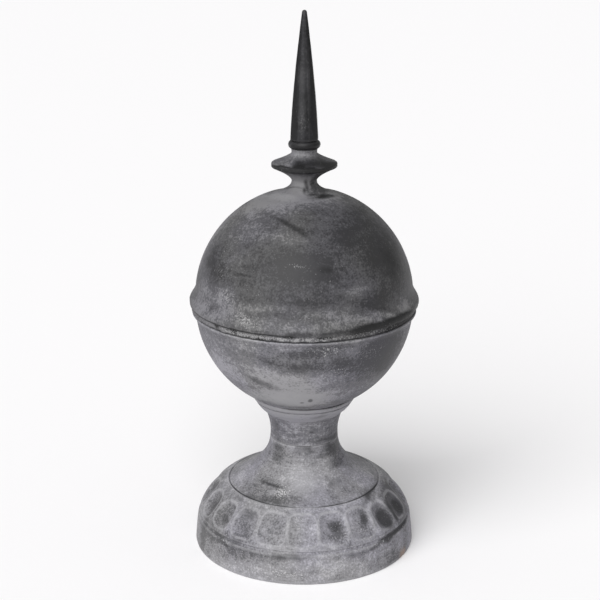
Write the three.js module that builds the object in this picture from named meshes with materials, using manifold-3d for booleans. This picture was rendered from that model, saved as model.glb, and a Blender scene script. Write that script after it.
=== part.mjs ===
import * as THREE from 'three';
import { mergeVertices } from 'three/addons/utils/BufferGeometryUtils.js';
import Module from 'manifold-3d';

// Roof finial: a foot with scooped panels, a ball cast in two halves, and a dark spike.
// Millimetres, +Z up, origin in the middle of the underside. The front faces -Y.

// joints between the castings, and how finely the rings are cut
const jointGap = 0.3;
const footFacets = 60;
const ballFacets = 36;
const ringFacets = 20;

// plain band at the bottom of the foot
const footRadius = 123.7;
const bandHeight = 31.4;
const bandTaper = 3;
const footEdge = 1.8;

// cove above the band, fine groove round the stem and fine grooves at the bead
const coveHeight = 4.8;
const coveInset = 2.3;
const coveDepth = 1.3;
const grooveWidth = 2.4;
const grooveDepth = 1.7;
const beadGroove = 0.9;

// scooped moulding between the cove and the stem
const mouldingHeight = 36.8;
const mouldingInset = 32.5;
const mouldingBow = 5.2;

// scooped panels round the moulding, with a rib between each two
const panelCount = 20;
const panelTurn = -0.8;
const panelDepth = 4.2;
const panelShift = -4.2;
const ribWidth = 5.2;
const scoopRun = 23;
const scoopRise = 2.6;
const scoopPower = 3;

// stem that sweeps up to the waist of the neck, with the seam just under the waist
const stemHeight = 58.2;
const waistRadius = 37.7;
const stemSweep = 2.55;
const seamDrop = 7;

// neck that opens from the waist to the collar under the ball
const neckHeight = 25;
const neckFlare = 5.6;
const neckSweep = 1.9;
const collarHeight = 12.4;
const collarFlare = 11.4;
const collarBow = 1.1;
const beadHeight = 7.4;
const beadFlare = 2.8;
const beadBow = 0.9;

// ball: drawn in from the edge of the foot, so that the lip round it lines up with that edge.
// Its two halves have the same radius, and their centres lie a little apart.
const ballInset = 4.6;
const centreStep = 7.6;
const jointDrop = 6.8;

// lip round the top of the lower half
const lipReach = 3.6;
const lipHeight = 9.4;
const lipSweep = 1.6;
const lipEdge = 1.1;

// recess above the joint and the round-nosed rim that overhangs it
const recessReach = 1.6;
const recessHeight = 7;
const rimReach = 6.5;
const rimNose = 3.8;
const rimUndercut = 1.8;
const noseStep = 1.2;
const rimFlare = 15.4;
const rimSweep = 1.9;

// small neck and disc on top of the ball
const crownRadius = 43.7;
const throatRadius = 13.7;
const throatHeight = 18;
const throatSweep = 2.3;
const discRadius = 35.4;
const discRise = 15;
const discEdge = 3.6;
const discFall = 11;
const discUnderSweep = 1.45;
const discTopSweep = 1.15;
const studHeight = 4.8;
const studFlare = 0.6;

// ring under the eight-sided spike, whose radius is measured to its corners
const ringReach = 3;
const ringHeight = 8;
const spikeRadius = 16;
const spikeHeight = 137;
const spikeSides = 8;
const spikeTurn = -3;
const spikeSweep = 1.42;
const tipRadius = 3;

// heights of the main rings above the ground
const mouldingFoot = bandHeight + coveHeight;
const shoulder = mouldingFoot + mouldingHeight;
const waist = shoulder + stemHeight;
const seam = waist - seamDrop;
const collarFoot = waist + neckHeight;
const collarTop = collarFoot + collarHeight;
const ballFoot = collarTop + beadHeight;

// radii that follow from the sizes above
const bandTopRadius = footRadius - bandTaper;
const ballRadius = footRadius - ballInset;
const mouldingRadius = bandTopRadius - coveInset;
const shoulderRadius = mouldingRadius - mouldingInset;
const stemRadius = shoulderRadius - grooveWidth;
const collarFootRadius = waistRadius + neckFlare;
const collarTopRadius = collarFootRadius + collarFlare;
const ballFootRadius = collarTopRadius + beadFlare;
const lipRadius = ballRadius + lipReach;
const recessRadius = ballRadius + recessReach;
const rimRadius = ballRadius + rimReach;
const studRadius = throatRadius + studFlare;

// the lower half rests on the collar, and the upper half sits on the joint
const lowerCentre = ballFoot + Math.sqrt(ballRadius ** 2 - ballFootRadius ** 2);
const upperCentre = lowerCentre + centreStep;
const joint = lowerCentre - jointDrop;
const rimHeight = joint + jointGap + recessHeight;
const crown = upperCentre + Math.sqrt(ballRadius ** 2 - crownRadius ** 2);
const throat = crown + throatHeight;
const discUnderside = throat + discRise;
const discTop = discUnderside + discEdge;
const stud = discTop + discFall;
const studTop = stud + studHeight;
const ringFoot = studTop + jointGap;
const spikeFoot = ringFoot + ringHeight;

const wasm = await Module();
wasm.setup();

const at = (radius, height) => new THREE.Vector2(radius, height);

// A sweep from a narrow ring to a wide one, upright where it is narrow.
function flare(narrow, wide, power, steps) {
  const points = [];
  for (let i = 0; i <= steps; i += 1) {
    const t = i / steps;
    const radius = THREE.MathUtils.lerp(narrow.x, wide.x, t ** power);
    points.push(at(radius, THREE.MathUtils.lerp(narrow.y, wide.y, t)));
  }
  return points;
}

// A line from one ring up to the next, bowed outwards by the given amount.
function bowed(from, to, bow, steps) {
  const along = to.clone().sub(from).normalize();
  const outward = at(along.y, -along.x);
  const middle = from.clone().lerp(to, 0.5).addScaledVector(outward, 2 * bow);
  return new THREE.QuadraticBezierCurve(from, middle, to).getPoints(steps);
}

// An arc of the ball's outline between two heights, both measured from its centre.
function ballArc(centre, fromHeight, toHeight, steps) {
  const start = Math.asin(fromHeight / ballRadius);
  const end = Math.asin(toHeight / ballRadius);
  return new THREE.EllipseCurve(0, centre, ballRadius, ballRadius, start, end, false).getPoints(steps);
}

// A turned solid from its outline, which is closed at the axis at both ends.
function turned(outline, facets) {
  const first = outline[0];
  const last = outline[outline.length - 1];
  const closed = [at(0, first.y), ...outline, at(0, last.y)];
  const geometry = new THREE.LatheGeometry(closed, facets);
  geometry.rotateX(Math.PI / 2);
  return welded(geometry);
}

// The same geometry with shared vertices merged and flat triangles at the axis dropped.
function welded(geometry) {
  geometry.deleteAttribute('normal');
  geometry.deleteAttribute('uv');
  const merged = mergeVertices(geometry);
  const index = merged.getIndex().array;
  const kept = [];
  for (let i = 0; i < index.length; i += 3) {
    const [a, b, c] = index.slice(i, i + 3);
    if (a !== b && b !== c && c !== a) {
      kept.push(a, b, c);
    }
  }
  merged.setIndex(kept);
  return merged;
}

function toSolid(geometry) {
  const vertProperties = new Float32Array(geometry.getAttribute('position').array);
  const triVerts = new Uint32Array(geometry.getIndex().array);
  return new wasm.Manifold(new wasm.Mesh({ numProp: 3, vertProperties, triVerts }));
}

function toGeometry(solid) {
  const mesh = solid.getMesh();
  const geometry = new THREE.BufferGeometry();
  geometry.setAttribute('position', new THREE.BufferAttribute(mesh.vertProperties, mesh.numProp));
  geometry.setIndex(new THREE.BufferAttribute(mesh.triVerts, 1));
  geometry.computeVertexNormals();
  return geometry;
}

// Outline radius of the stem at a height between the shoulder and the waist.
function stemRadiusAt(height) {
  const t = (waist - height) / stemHeight;
  return THREE.MathUtils.lerp(waistRadius, stemRadius, t ** stemSweep);
}

function stemOutline(fromHeight, toHeight, steps) {
  const points = [];
  for (let i = 0; i <= steps; i += 1) {
    const height = THREE.MathUtils.lerp(fromHeight, toHeight, i / steps);
    points.push(at(stemRadiusAt(height), height));
  }
  return points;
}

// A unit ball pushed out towards the corners of its box, the more the higher the power.
function squareBall(power) {
  const geometry = new THREE.SphereGeometry(1, 14, 10);
  geometry.rotateX(Math.PI / 2);
  const position = geometry.getAttribute('position');
  const point = new THREE.Vector3();
  for (let i = 0; i < position.count; i += 1) {
    point.fromBufferAttribute(position, i);
    const sum = Math.abs(point.x) ** power + Math.abs(point.y) ** power + Math.abs(point.z) ** power;
    point.multiplyScalar(sum ** (-1 / power));
    position.setXYZ(i, point.x, point.y, point.z);
  }
  return geometry;
}

// One scoop: a stretched square ball that lies along the slope of the moulding and dips into its middle.
function panelCutter() {
  const foot = at(mouldingRadius, mouldingFoot);
  const head = at(shoulderRadius, shoulder);
  const along = head.clone().sub(foot).normalize();
  const outward = at(along.y, -along.x);
  const surface = foot.clone().lerp(head, 0.5)
    .addScaledVector(along, panelShift)
    .addScaledVector(outward, mouldingBow);
  const reach = scoopRise + panelDepth;
  const edgeTurn = Math.PI / panelCount - ribWidth / 2 / surface.x;
  const fallAway = surface.x * (1 - Math.cos(edgeTurn)) * outward.x;
  const atEdge = (scoopRise + fallAway) / reach;
  const narrowing = (1 - atEdge ** scoopPower) ** (1 / scoopPower);
  const geometry = squareBall(scoopPower);
  geometry.scale(surface.x * Math.sin(edgeTurn) / narrowing, scoopRun, reach);
  geometry.applyMatrix4(new THREE.Matrix4().makeBasis(
    new THREE.Vector3(0, 1, 0),
    new THREE.Vector3(along.x, 0, along.y),
    new THREE.Vector3(outward.x, 0, outward.y),
  ));
  const centre = surface.addScaledVector(outward, scoopRise);
  geometry.translate(centre.x, 0, centre.y);
  return toSolid(welded(geometry));
}

function baseGeometry() {
  const outline = [
    ...bowed(at(footRadius - footEdge, 0), at(footRadius, footEdge), footEdge * (1 - Math.SQRT1_2), 2),
    at(bandTopRadius, bandHeight),
    at(mouldingRadius - coveDepth, bandHeight + coveHeight / 2),
    ...bowed(at(mouldingRadius, mouldingFoot), at(shoulderRadius, shoulder), mouldingBow, 5),
    at(shoulderRadius - grooveWidth / 2, shoulder - grooveDepth),
    ...stemOutline(shoulder, seam, 6),
  ];
  let solid = toSolid(turned(outline, footFacets));
  const cutter = panelCutter();
  for (let i = 0; i < panelCount; i += 1) {
    const turn = (360 * i) / panelCount + panelTurn - 90;
    solid = solid.subtract(cutter.rotate([0, 0, turn]));
  }
  return toGeometry(solid);
}

function lowerBowlGeometry() {
  const foot = seam + jointGap;
  const beadTop = ballFoot - beadGroove;
  const lipFoot = joint - lipHeight;
  const lipFootRadius = Math.sqrt(ballRadius ** 2 - (lowerCentre - lipFoot) ** 2);
  const outline = [
    ...stemOutline(foot, waist, 2),
    ...flare(at(waistRadius, waist), at(collarFootRadius, collarFoot), neckSweep, 3).slice(1),
    ...bowed(at(collarFootRadius, collarFoot), at(collarTopRadius, collarTop), collarBow, 2).slice(1),
    at(collarTopRadius - beadGroove, collarTop + beadGroove / 2),
    ...bowed(at(collarTopRadius, collarTop + beadGroove), at(ballFootRadius, beadTop), beadBow, 2),
    at(ballFootRadius - beadGroove, beadTop + beadGroove / 2),
    ...ballArc(lowerCentre, ballFoot - lowerCentre, lipFoot - lowerCentre, 7),
    ...flare(at(lipFootRadius, lipFoot), at(lipRadius, joint - lipEdge), lipSweep, 3).slice(1),
    at(lipRadius - lipEdge, joint),
  ];
  return turned(outline, ballFacets);
}

function upperDomeGeometry() {
  const foot = joint + jointGap;
  const noseTop = rimHeight + 2 * rimNose;
  const flareTop = noseTop + rimFlare;
  const flareRadius = Math.sqrt(ballRadius ** 2 - (flareTop - upperCentre) ** 2);
  const noseBack = rimRadius - noseStep;
  const rim = flare(at(flareRadius, flareTop), at(noseBack, noseTop), rimSweep, 4).reverse();
  const throatPoint = at(throatRadius, throat);
  const outline = [
    at(recessRadius, foot),
    at(recessRadius, rimHeight - rimUndercut),
    at(noseBack, rimHeight),
    at(rimRadius, rimHeight + rimNose),
    ...rim,
    ...ballArc(upperCentre, flareTop - upperCentre, crown - upperCentre, 7).slice(1),
    ...flare(throatPoint, at(crownRadius, crown), throatSweep, 5).reverse().slice(1),
    ...flare(throatPoint, at(discRadius, discUnderside), discUnderSweep, 4).slice(1),
    at(discRadius, discTop),
    ...flare(at(throatRadius, stud), at(discRadius, discTop), discTopSweep, 3).reverse().slice(1),
    at(studRadius, studTop),
  ];
  return turned(outline, ballFacets);
}

// Ring and spike in one casting: a round bead, and an eight-sided spike that swells a little.
function spikeGeometry() {
  const quarter = Math.PI / 2;
  const ringMiddle = ringFoot + ringHeight / 2;
  const bead = new THREE.EllipseCurve(studRadius, ringMiddle, ringReach, ringHeight / 2, -quarter, quarter);
  const ring = toSolid(turned(bead.getPoints(6), ringFacets));
  const tipFoot = spikeFoot + spikeHeight - tipRadius;
  const taper = [];
  const steps = 8;
  for (let i = 0; i <= steps; i += 1) {
    const t = i / steps;
    const radius = THREE.MathUtils.lerp(spikeRadius, tipRadius, t ** spikeSweep);
    taper.push(at(radius, THREE.MathUtils.lerp(ringMiddle, tipFoot, t)));
  }
  const tip = new THREE.EllipseCurve(0, tipFoot, tipRadius, tipRadius, 0, quarter).getPoints(4);
  const shaft = turned([...taper, ...tip.slice(1, -1)], spikeSides);
  shaft.rotateZ(THREE.MathUtils.degToRad(spikeTurn + 180 / spikeSides));
  return toGeometry(ring.add(toSolid(shaft)));
}

function casting(name, geometry, color, roughness, metalness) {
  const material = new THREE.MeshStandardMaterial({ color, roughness, metalness });
  const mesh = new THREE.Mesh(geometry, material);
  mesh.name = name;
  return mesh;
}

const group = new THREE.Group();
group.name = 'roof_finial';
group.add(casting('base', baseGeometry(), 0x8b8c8f, 0.85, 0.15));
group.add(casting('lower_bowl', lowerBowlGeometry(), 0x75767a, 0.85, 0.15));
group.add(casting('upper_dome', upperDomeGeometry(), 0x626367, 0.85, 0.15));
group.add(casting('spike', spikeGeometry(), 0x2f3033, 0.6, 0.3));

export default group;
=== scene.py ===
import math
import bpy
import bmesh
import numpy as np
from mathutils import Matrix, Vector, noise


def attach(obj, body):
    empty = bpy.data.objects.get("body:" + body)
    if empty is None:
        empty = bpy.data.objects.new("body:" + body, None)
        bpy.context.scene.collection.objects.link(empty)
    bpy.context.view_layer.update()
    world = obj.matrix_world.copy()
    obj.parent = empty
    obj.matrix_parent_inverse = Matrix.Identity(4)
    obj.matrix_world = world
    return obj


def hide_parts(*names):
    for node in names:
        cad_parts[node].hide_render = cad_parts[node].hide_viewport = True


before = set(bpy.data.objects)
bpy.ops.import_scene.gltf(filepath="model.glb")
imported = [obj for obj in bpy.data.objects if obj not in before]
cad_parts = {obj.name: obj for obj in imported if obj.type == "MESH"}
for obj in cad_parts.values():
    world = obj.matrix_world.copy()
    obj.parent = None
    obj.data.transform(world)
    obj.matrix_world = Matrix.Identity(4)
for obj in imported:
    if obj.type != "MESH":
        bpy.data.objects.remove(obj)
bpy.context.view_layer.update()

mm = 0.001  # sizes below are in millimetres unless a note says metres

# camera first: a long lens looking down at the front a little; its reach is in metres
view = {"across": -4.6, "back": -1567, "up": 775.6, "tilt": 72.514, "lens": 90, "sensor": 36, "reach": 60}
cameraData = bpy.data.cameras.new("frontCamera")
cameraData.lens = view["lens"]
cameraData.sensor_width = view["sensor"]
cameraData.clip_end = view["reach"]
camera = bpy.data.objects.new("frontCamera", cameraData)
camera.location = (view["across"] * mm, view["back"] * mm, view["up"] * mm)
camera.rotation_euler = (math.radians(view["tilt"]), 0, 0)
bpy.context.scene.collection.objects.link(camera)
bpy.context.scene.camera = camera
print("camera placed")


# outlines are lists of (radius, height), drawn from the bottom up

def sweepLine(narrow, wide, power, steps):
    # upright at the narrow ring, leaning further out the nearer it is to the wide one
    line = []
    for i in range(steps + 1):
        t = i / steps
        line.append((narrow[0] + (wide[0] - narrow[0]) * t ** power, narrow[1] + (wide[1] - narrow[1]) * t))
    return line


def bowedLine(start, end, bow, steps):
    # bow is how far the middle stands out, to the right of the way from start to end
    a, b = Vector(start), Vector(end)
    along = (b - a).normalized()
    middle = (a + b) / 2 + Vector((along.y, -along.x)) * bow * 2
    line = []
    for i in range(steps + 1):
        t = i / steps
        line.append(tuple(a * (1 - t) ** 2 + middle * 2 * t * (1 - t) + b * t * t))
    return line


def ballLine(radius, centre, low, high, steps):
    # part of a circle round a point on the axis, between two heights
    start = math.asin((low - centre) / radius)
    end = math.asin((high - centre) / radius)
    line = []
    for i in range(steps + 1):
        turn = start + (end - start) * i / steps
        line.append((radius * math.cos(turn), centre + radius * math.sin(turn)))
    return line


def roundLine(centre, across, tall, start, end, steps):
    # part of an oval between two angles in degrees
    line = []
    for i in range(steps + 1):
        turn = math.radians(start + (end - start) * i / steps)
        line.append((centre[0] + across * math.cos(turn), centre[1] + tall * math.sin(turn)))
    return line


turning = {"sharpCorner": 24, "weldGap": 0.002, "axisGap": 0.01}  # degrees, and two gaps


def turned(outline, given):
    # sharp corners of the outline are rounded, one sector is spun, and its copies go all round
    sectors, steps = given["sectors"], given["steps"]
    bm = bmesh.new()
    points = [bm.verts.new((radius * mm, 0, height * mm)) for radius, height in outline]
    for pair in zip(points, points[1:]):
        bm.edges.new(pair)
    corners = [v for v in points[1:-1] if v.calc_edge_angle() > math.radians(turning["sharpCorner"])]
    bmesh.ops.bevel(bm, geom=corners, affect="VERTICES", offset=given["soften"] * mm, segments=3,
                    profile=0.5, material=-1)
    sector = math.tau / sectors
    bmesh.ops.spin(bm, geom=bm.verts[:] + bm.edges[:], cent=(0, 0, 0), axis=(0, 0, 1),
                   angle=sector, steps=steps)
    bmesh.ops.spin(bm, geom=bm.verts[:] + bm.edges[:] + bm.faces[:], cent=(0, 0, 0), axis=(0, 0, 1),
                   angle=math.tau - sector, steps=sectors - 1, use_duplicate=True)
    bmesh.ops.remove_doubles(bm, verts=bm.verts[:], dist=turning["weldGap"] * mm)
    bmesh.ops.recalc_face_normals(bm, faces=bm.faces[:])
    bm.normal_update()
    return bm


def offAxis(bm):
    # each point away from the axis, with its outward direction and its height
    for v in bm.verts:
        radial = Vector((v.co.x, v.co.y, 0))
        if radial.length >= turning["axisGap"] * mm:
            yield v, radial.normalized(), v.co.z / mm


def frontAngle(place):
    # degrees round from the front, growing to the viewer's right
    return math.degrees(math.atan2(place.x, -place.y))


def angleApart(a, b):
    return (a - b + 180) % 360 - 180


def lump(place, size, seed):
    # smooth random height from -1 to 1 with lumps of the given size
    return noise.noise(place / (size * mm) + Vector((seed * 7.3, seed * 3.1, seed * 5.7)))


def uneven(place, lumps, setIn):
    # each row of lumps: height, size, seed; set in a little, so that the surface stays inside the solids
    return sum(tall * lump(place, size, seed) for tall, size, seed in lumps) - setIn


def fade(value, low, high):
    t = min(max((value - low) / (high - low), 0), 1)
    return t * t * (3 - 2 * t)


def finishPiece(name, bm, material, node):
    mesh = bpy.data.meshes.new(name)
    bm.to_mesh(mesh)
    bm.free()
    for face in mesh.polygons:
        face.use_smooth = True
    mesh.materials.append(material)
    piece = bpy.data.objects.new(name, mesh)
    bpy.context.scene.collection.objects.link(piece)
    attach(piece, "root")
    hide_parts(node)
    return piece


# painted masks: the finish reads one number for each point, from nought to one

painting = {  # bends are one over metres, and the pull is in metres
    "bendSpread": 2, "mostBend": 700, "fullBend": 260,
    "mostDirtAndShade": 0.85, "ringEnd": 14, "outerPull": 0.0002,
    "markEdge": 1.25, "markDepth": 0.5, "middleTone": 0.5, "panelShade": 0.1,
}


def readArray(rows, key, width, kind=float):
    values = np.zeros(len(rows) * width, kind)
    rows.foreach_get(key, values)
    return values.reshape(-1, width)


def turnAndRadius(place):
    # degrees round from the front, and metres from the axis
    return np.degrees(np.arctan2(place[:, 0], -place[:, 1])), np.hypot(place[:, 0], place[:, 1])


def keepMask(mesh, name, values):
    layer = mesh.attributes.new(name, "FLOAT", "POINT")
    layer.data.foreach_set("value", np.clip(values, 0, 1).astype(np.float32))


def ringMask(place, rings):
    # each ring: radius, height, reach, strength, and the middle and half width of its arc in degrees
    angle, radius = turnAndRadius(place)
    total = np.zeros(len(place))
    for ringRadius, height, reach, strength, middle, half in rings:
        away = ((radius - ringRadius * mm) ** 2 + (place[:, 2] - height * mm) ** 2) / (reach * mm) ** 2
        apart = np.abs(angleApart(angle, middle))
        part = np.clip((half - apart) / painting["ringEnd"] + 0.5, 0, 1) if half < 180 else 1
        total += strength * np.exp(-away) * part
    return total


def paintEdgesAndHollows(piece, lessDirtAndShadeRings):
    # how far each point stands out of, or lies below, its neighbours; the rings listed take away some of the grime
    # and painted shade of the hollows
    mesh = piece.data
    place, outward = readArray(mesh.vertices, "co", 3), readArray(mesh.vertices, "normal", 3)
    edges = readArray(mesh.edges, "vertices", 2, int)
    count = len(place)
    first, second = edges[:, 0], edges[:, 1]
    neighbours = np.bincount(edges.ravel(), minlength=count)

    def average(values):
        total = np.bincount(first, values[second], count) + np.bincount(second, values[first], count)
        return total / neighbours

    length = ((place[first] - place[second]) ** 2).sum(1)
    spacing = (np.bincount(first, length, count) + np.bincount(second, length, count)) / neighbours
    middle = np.stack([average(place[:, axis]) for axis in range(3)], 1)
    bend = ((middle - place) * outward).sum(1) * 4 / spacing
    bend = np.clip(bend, -painting["mostBend"], painting["mostBend"])
    for i in range(painting["bendSpread"]):
        bend = (bend + average(bend)) / 2
    bend = bend / painting["fullBend"]
    # hollow: creases and recesses darkened, as grime and as painted shade
    keepMask(mesh, "hollow", np.minimum(bend, painting["mostDirtAndShade"]) - ringMask(place, lessDirtAndShadeRings))
    # edge: ridges and rims lightened with the worn colour, as wear and as painted highlight
    keepMask(mesh, "edge", -bend)


def paintMarks(piece, name, marks, rings=(), ground=0):
    # each mark: degrees from the front, height, half width, half height, lean in degrees, strength
    mesh = piece.data
    place, outward = readArray(mesh.vertices, "co", 3), readArray(mesh.vertices, "normal", 3)
    angle, radius = turnAndRadius(place)
    total = np.zeros(len(place))
    for turn, height, wide, tall, lean, strength in marks:
        # the middle of the mark is the nearest point, and of two nearly as near the outer one
        apart = np.radians(angle - turn) * radius
        nearest = np.argmin(apart ** 2 + (place[:, 2] - height * mm) ** 2 - radius * painting["outerPull"])
        normal = outward[nearest]
        east = np.array([math.cos(math.radians(turn)), math.sin(math.radians(turn)), 0])
        up = np.cross(normal, -east)
        up = up if up[2] > 0 else -up
        offset = place - place[nearest]
        x, y = offset @ east, offset @ up
        c, s = math.cos(math.radians(lean)), math.sin(math.radians(lean))
        reach = ((x * c + y * s) / (wide * mm)) ** 2 + ((y * c - x * s) / (tall * mm)) ** 2
        away = (offset @ normal) / (max(wide, tall) * mm)
        mark = strength * np.exp(-reach ** painting["markEdge"] - away ** 2 * painting["markDepth"])
        # tones add up on their ground, and of all other marks the strongest counts
        total = total + mark if ground else np.maximum(total, mark)
    total += ringMask(place, rings)
    if ground and "field" in mesh.attributes:
        total -= painting["panelShade"] * readArray(mesh.attributes["field"].data, "value", 1)[:, 0]
    keepMask(mesh, name, ground + total)


def weatherPiece(piece, given):
    # every mask of a piece, from the lists of marks and rings in its dictionary
    paintEdgesAndHollows(piece, given.get("lessDirtAndShadeRings", ()))
    # stains and dirt, with painted shade where rings and marks darken undersides, joins and grooves
    paintMarks(piece, "stainAndShade", given.get("stainsAndShade", ()), given["dirtAndShadeRings"])
    paintMarks(piece, "bloom", given["blooms"], given.get("bloomRings", ()))
    # pale marks: pale patches of the surface, and painted light and highlights
    paintMarks(piece, "paleAndLight", given["palesAndLight"])
    paintMarks(piece, "turning", (), given.get("turningRings", ()))
    # tone: lighter and darker patches of the surface, and painted light and shade on the pieces' sides
    paintMarks(piece, "toneAndLight", given["tonesAndLight"], given["toneAndLightRings"], painting["middleTone"])
    if "rusts" in given:
        paintMarks(piece, "rust", given["rusts"])


# shader helpers: an input is a number, a colour or another node's socket

def addNode(tree, kind, inputs=None, **settings):
    node = tree.nodes.new(kind)
    for key, value in settings.items():
        setattr(node, key, value)
    for key, value in (inputs or {}).items():
        if isinstance(value, bpy.types.NodeSocket):
            tree.links.new(value, node.inputs[key])
        else:
            node.inputs[key].default_value = value
    return node


def noiseValue(tree, place, scale, detail, rough, distortion):
    return addNode(tree, "ShaderNodeTexNoise", {"Vector": place, "Scale": scale, "Detail": detail,
                                                "Roughness": rough, "Distortion": distortion}).outputs[0]


def calc(tree, operation, a, b, clamp=False):
    return addNode(tree, "ShaderNodeMath", {0: a, 1: b}, operation=operation, use_clamp=clamp).outputs[0]


def swing(tree, value, amount):
    # a noise turned to lie about nought, times its amount
    return calc(tree, "MULTIPLY", calc(tree, "SUBTRACT", value, 0.5), amount)


def stepUp(tree, value, low, high):
    return addNode(tree, "ShaderNodeMapRange", {"Value": value, "From Min": low, "From Max": high},
                   interpolation_type="SMOOTHSTEP").outputs["Result"]


def stretched(tree, place, scale, rotation=(0, 0, 0)):
    return addNode(tree, "ShaderNodeMapping", {"Vector": place, "Rotation": rotation, "Scale": scale},
                   vector_type="POINT").outputs[0]


def blendColour(tree, share, a, b, kind="MIX"):
    return addNode(tree, "ShaderNodeMix", {0: share, 6: a, 7: b}, data_type="RGBA", blend_type=kind).outputs[2]


def newGroup(name, inputs, outputs):
    group = bpy.data.node_groups.new(name, "ShaderNodeTree")
    for label, kind, value in inputs:
        socket = group.interface.new_socket(label, in_out="INPUT", socket_type=kind)
        if value is not None:
            socket.default_value = value
    for label, kind in outputs:
        group.interface.new_socket(label, in_out="OUTPUT", socket_type=kind)
    start = group.nodes.new("NodeGroupInput")
    end = group.nodes.new("NodeGroupOutput")
    return group, start.outputs, end.inputs


number, colour, vector = "NodeSocketFloat", "NodeSocketColor", "NodeSocketVector"


def makeCloudedGrey():
    # the weathered skin: broad clouds, streaks that lie round the piece, fine mottle and turning lines
    tree, given, out = newGroup("cloudedGrey", [
        ("Place", vector, None), ("Dark", colour, (0.1, 0.1, 0.1, 1)), ("Middle", colour, (0.2, 0.2, 0.2, 1)),
        ("Light", colour, (0.3, 0.3, 0.3, 1)), ("Painted", number, 0.5), ("Cloud Scale", number, 22),
        ("Clouds", number, 1), ("Streak Scale", number, 30), ("Streaks", number, 1), ("Mottle", number, 0.6),
        ("Grain", number, 0.7), ("Turning", number, 0)],
        [("Color", colour), ("Tone", number)])
    place = given["Place"]
    flat = stretched(tree, place, (0.35, 0.35, 1.5), (0, 0.3, 0.1))
    fine = stretched(tree, place, (0.09, 0.09, 1))
    layers = {
        "Clouds": noiseValue(tree, place, given["Cloud Scale"], detail=4, rough=0.6, distortion=0.6),
        "Streaks": noiseValue(tree, flat, given["Streak Scale"], detail=5, rough=0.62, distortion=0.9),
        "Mottle": noiseValue(tree, place, 150, detail=4, rough=0.65, distortion=0.3),
        "Grain": noiseValue(tree, place, 480, detail=2, rough=0.6, distortion=0),
        "Turning": noiseValue(tree, fine, 520, detail=3, rough=0.65, distortion=0.2),
    }
    toneAndLight = given["Painted"]
    for amount, layer in layers.items():
        toneAndLight = calc(tree, "ADD", toneAndLight, swing(tree, layer, given[amount]))
    shade = blendColour(tree, stepUp(tree, toneAndLight, 0.1, 0.52), given["Dark"], given["Middle"])
    shade = blendColour(tree, stepUp(tree, toneAndLight, 0.48, 0.9), shade, given["Light"])
    # the grey drifts a little between warm and cold
    drift = stepUp(tree, noiseValue(tree, place, 13, detail=2, rough=0.5, distortion=0.5), 0.35, 0.65)
    tint = blendColour(tree, drift, (1, 0.995, 0.98, 1), (0.995, 0.985, 1.04, 1))
    tree.links.new(blendColour(tree, 1.0, shade, tint, "MULTIPLY"), out["Color"])
    tree.links.new(toneAndLight, out["Tone"])
    return tree


def makeBrokenPatch():
    # turns a soft painted mask into a patch with a worn, broken edge
    tree, given, out = newGroup("brokenPatch", [
        ("Place", vector, None), ("Painted", number, 0), ("Scale", number, 90), ("Break", number, 0.7),
        ("Softness", number, 0.3)],
        [("Mask", number)])
    ragged = noiseValue(tree, given["Place"], given["Scale"], detail=5, rough=0.65, distortion=0.5)
    # nothing breaks out where nothing is painted
    pushed = calc(tree, "MULTIPLY", swing(tree, ragged, given["Break"]), stepUp(tree, given["Painted"], 0.02, 0.2))
    level = calc(tree, "ADD", given["Painted"], pushed)
    cut = 0.4
    low = calc(tree, "SUBTRACT", cut, given["Softness"])
    high = calc(tree, "ADD", cut, given["Softness"])
    tree.links.new(stepUp(tree, level, low, high), out["Mask"])
    return tree


def makeChalkSpecks():
    # pale crystalline specks, thin everywhere and thick where bloom is painted
    tree, given, out = newGroup("chalkSpecks", [
        ("Place", vector, None), ("Painted", number, 0), ("Everywhere", number, 0.2), ("Scale", number, 420)],
        [("Mask", number), ("Height", number)])
    fine = noiseValue(tree, given["Place"], given["Scale"], detail=3, rough=0.7, distortion=0.3)
    cluster = noiseValue(tree, given["Place"], 60, detail=3, rough=0.6, distortion=0.4)
    amount = calc(tree, "ADD", given["Painted"], calc(tree, "MULTIPLY", given["Everywhere"], cluster))
    gate = calc(tree, "SUBTRACT", 0.72, calc(tree, "MULTIPLY", amount, 0.24))
    speck = stepUp(tree, calc(tree, "SUBTRACT", fine, gate), -0.02, 0.07)
    tree.links.new(speck, out["Mask"])
    tree.links.new(calc(tree, "MULTIPLY", speck, 0.6), out["Height"])
    return tree


def makeCastSkin():
    # the fine sandy skin of the casting with a few pinholes
    tree, given, out = newGroup("castSkin", [
        ("Place", vector, None), ("Grain Scale", number, 700), ("Pits", number, 0.4)],
        [("Height", number), ("Pit", number)])
    place = given["Place"]
    grain = noiseValue(tree, place, given["Grain Scale"], detail=3, rough=0.6, distortion=0)
    lumps = noiseValue(tree, place, 130, detail=3, rough=0.5, distortion=0)
    cells = addNode(tree, "ShaderNodeTexVoronoi", {"Vector": place, "Scale": 85.0, "Randomness": 1.0})
    hole = stepUp(tree, cells.outputs["Distance"], 0.1, 0.02)
    # about one cell in four has a hole
    pick = addNode(tree, "ShaderNodeSeparateColor", {0: cells.outputs["Color"]}).outputs[0]
    hole = calc(tree, "MULTIPLY", hole, stepUp(tree, pick, 0.72, 0.78))
    hole = calc(tree, "MULTIPLY", hole, given["Pits"])
    height = calc(tree, "ADD", calc(tree, "MULTIPLY", grain, 0.35), calc(tree, "MULTIPLY", lumps, 0.65))
    tree.links.new(calc(tree, "SUBTRACT", height, hole), out["Height"])
    tree.links.new(hole, out["Pit"])
    return tree


cloudedGrey = makeCloudedGrey()
brokenPatch = makeBrokenPatch()
chalkSpecks = makeChalkSpecks()
castSkin = makeCastSkin()

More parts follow.
